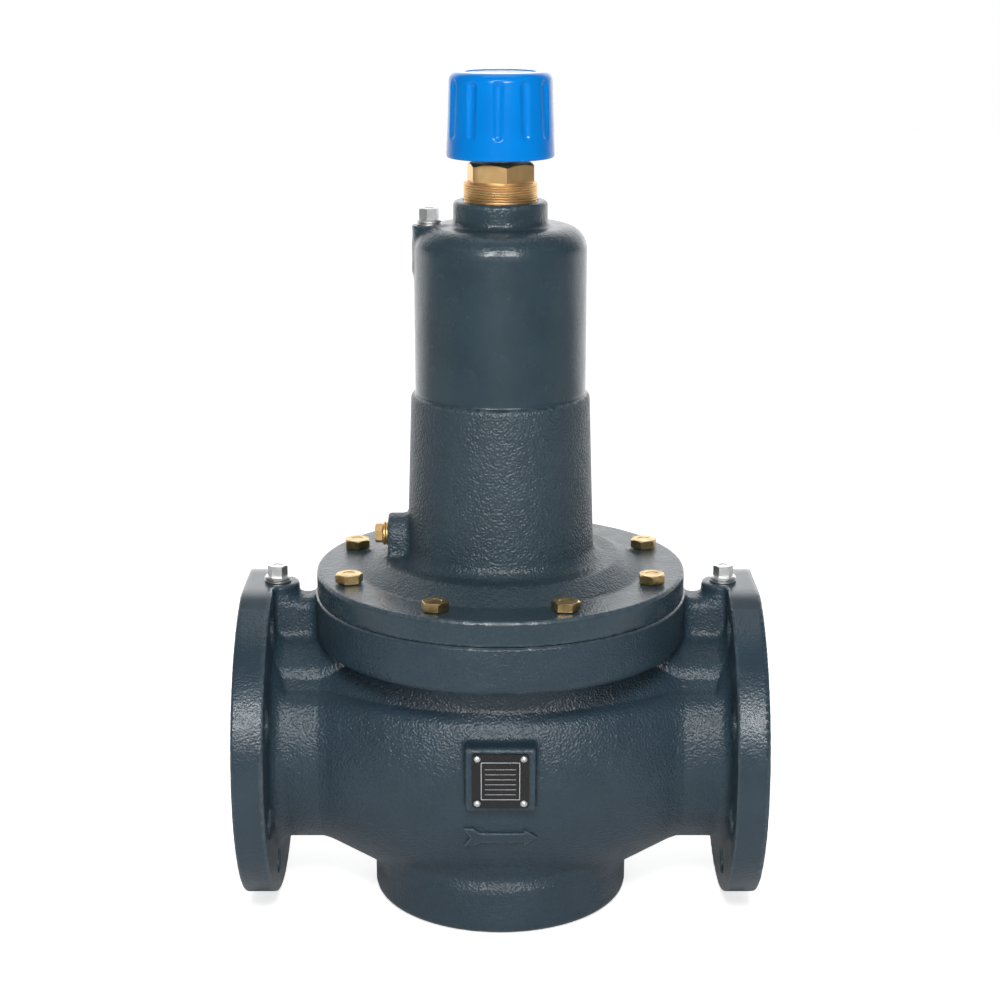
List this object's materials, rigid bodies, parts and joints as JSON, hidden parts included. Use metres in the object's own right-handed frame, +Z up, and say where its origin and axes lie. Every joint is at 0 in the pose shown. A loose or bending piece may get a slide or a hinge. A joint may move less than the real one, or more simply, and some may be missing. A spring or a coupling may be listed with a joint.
{
  "type": "flanged differential pressure control valve",
  "caption": "Self-acting flanged control valve: cast body with pipe flanges, bolted bonnet with spring column, gland and blue shut-off knob.",
  "frame": {"origin": "centre of the flat underside of the body's base", "axes": "+X along the pipe towards the outlet, +Z up along the stem, the name plate faces -Y"},
  "size_m": [0.35, 0.248, 0.5557],
  "materials": {
    "slate_cast_iron": "slate blue-grey paint over a cast skin, semi-gloss",
    "steel": "turned",
    "spring_steel": "dark oiled",
    "zinc_plate": "bright zinc plate",
    "yellow_zinc_plate": "yellow passivated zinc plate",
    "brass": "turned, bright",
    "rubber": "matt",
    "blue_plastic": "moulded, glossy",
    "pale_plastic": "moulded, satin",
    "black_plate": "black anodised, bare"
  },
  "bodies": {
    "valve": {"valve_body": "slate_cast_iron", "bonnet": "slate_cast_iron", "name_plate": "black_plate", "seat_ring": "steel", "stem_o_ring": "rubber", "spindle_o_ring": "rubber", "gland_o_ring": "rubber", "diaphragm": "rubber", "partition_plate": "steel", "guide_bush": "brass", "lower_spring_seat": "steel", "reference_spring": "spring_steel", "retaining_ring": "spring_steel", "gland_nut": "brass", "bleed_plug": "brass", "bleed_washer": "brass", "inlet_test_plug": "zinc_plate", "outlet_test_plug": "zinc_plate", "inlet_test_washer": "zinc_plate", "outlet_test_washer": "zinc_plate", "vent_plug": "zinc_plate", "vent_washer": "zinc_plate", "bonnet_bolt_1": "yellow_zinc_plate", "bonnet_bolt_2": "yellow_zinc_plate", "bonnet_bolt_3": "yellow_zinc_plate", "bonnet_bolt_4": "yellow_zinc_plate", "bonnet_bolt_5": "yellow_zinc_plate", "bonnet_bolt_6": "yellow_zinc_plate", "bonnet_bolt_7": "yellow_zinc_plate", "bonnet_bolt_8": "yellow_zinc_plate", "rivet_1": "zinc_plate", "rivet_2": "zinc_plate", "rivet_3": "zinc_plate", "rivet_4": "zinc_plate"},
    "carrier": {"thrust_washer": "brass"},
    "knob": {"knob": "blue_plastic", "shut_off_spindle": "brass", "knob_nut": "steel", "knob_cap": "pale_plastic"},
    "trim": {"valve_stem": "steel", "valve_cone": "steel", "cone_seal": "rubber", "seal_retainer": "steel", "cone_nut": "steel", "piston_ring": "rubber", "lower_diaphragm_plate": "steel", "upper_diaphragm_plate": "steel", "diaphragm_nut": "steel", "coupling_sleeve": "steel"},
    "setting": {"setting_spindle": "steel"},
    "spring_plate": {"spring_plate": "steel"}
  },
  "joints": [
    {"name": "spindle_travel", "type": "slide", "parent": "valve", "child": "carrier", "axis": [0, 0, -1], "range_m": [0, 0.012]},
    {"name": "knob_turn", "type": "hinge", "parent": "carrier", "child": "knob", "pos_m": [0, 0, 0.5], "axis": [0, 0, -1], "range_deg": [0, 1440], "deforming": ["reference_spring", "diaphragm"]},
    {"name": "stem_travel", "type": "slide", "parent": "valve", "child": "trim", "axis": [0, 0, -1], "range_m": [0, 0.012], "deforming": ["reference_spring", "diaphragm"]},
    {"name": "setting_turn", "type": "hinge", "parent": "trim", "child": "setting", "pos_m": [0, 0, 0.4], "axis": [0, 0, -1], "range_deg": [0, 7200], "deforming": ["reference_spring"]},
    {"name": "spring_plate_travel", "type": "slide", "parent": "trim", "child": "spring_plate", "axis": [0, 0, -1], "range_m": [0, 0.04], "deforming": ["reference_spring"]}
  ],
  "couplings": [
    {"joint": "spindle_travel", "follows": "stem_travel", "ratio": 1},
    {"joint": "knob_turn", "follows": "stem_travel", "rad_per_m": 2094.4},
    {"joint": "setting_turn", "follows": "spring_plate_travel", "rad_per_m": 3141.6}
  ]
}
